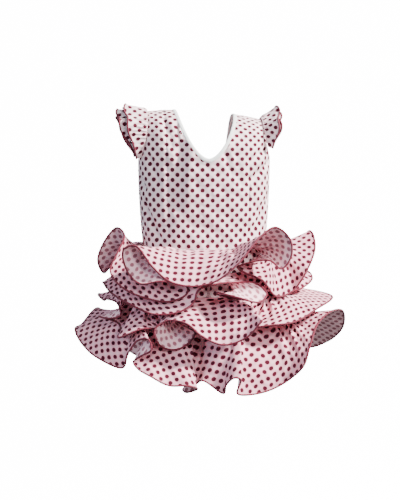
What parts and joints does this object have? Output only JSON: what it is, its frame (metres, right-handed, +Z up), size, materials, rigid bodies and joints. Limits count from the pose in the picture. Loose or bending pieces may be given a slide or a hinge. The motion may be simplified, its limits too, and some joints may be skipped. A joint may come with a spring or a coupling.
{
  "type": "toddler flamenco dress",
  "caption": "Toddler's sleeveless ruffled dress: V-neck bodice with frilled armholes, back buttons and a tiered skirt of wavy circular flounces, holding its worn form.",
  "frame": {"origin": "midway between the two shoulders, on the shoulder line, where the dress is held", "axes": "+Z up, +X to the right as the front is seen, and the front faces -Y"},
  "size_m": [0.41, 0.2995, 0.4116],
  "materials": {
    "bodice_cotton": "matte plain weave with printed red dots",
    "flounce_cotton": "matte plain weave with printed red dots, red thread along the hem",
    "binding": "matte white bias binding",
    "button": "glossy white"
  },
  "bodies": {
    "root": {"front_center": "bodice_cotton", "front_side_left": "bodice_cotton", "front_side_right": "bodice_cotton", "back_left": "bodice_cotton", "back_right": "bodice_cotton", "sleeve_over_left": "bodice_cotton", "sleeve_under_left": "bodice_cotton", "sleeve_over_right": "bodice_cotton", "sleeve_under_right": "bodice_cotton", "skirt_base": "flounce_cotton", "flounce_1": "flounce_cotton", "flounce_2": "flounce_cotton", "flounce_3": "flounce_cotton", "flounce_4": "flounce_cotton", "neck_binding": "binding", "button_1": "button", "button_2": "button", "button_3": "button"}
  },
  "joints": []
}
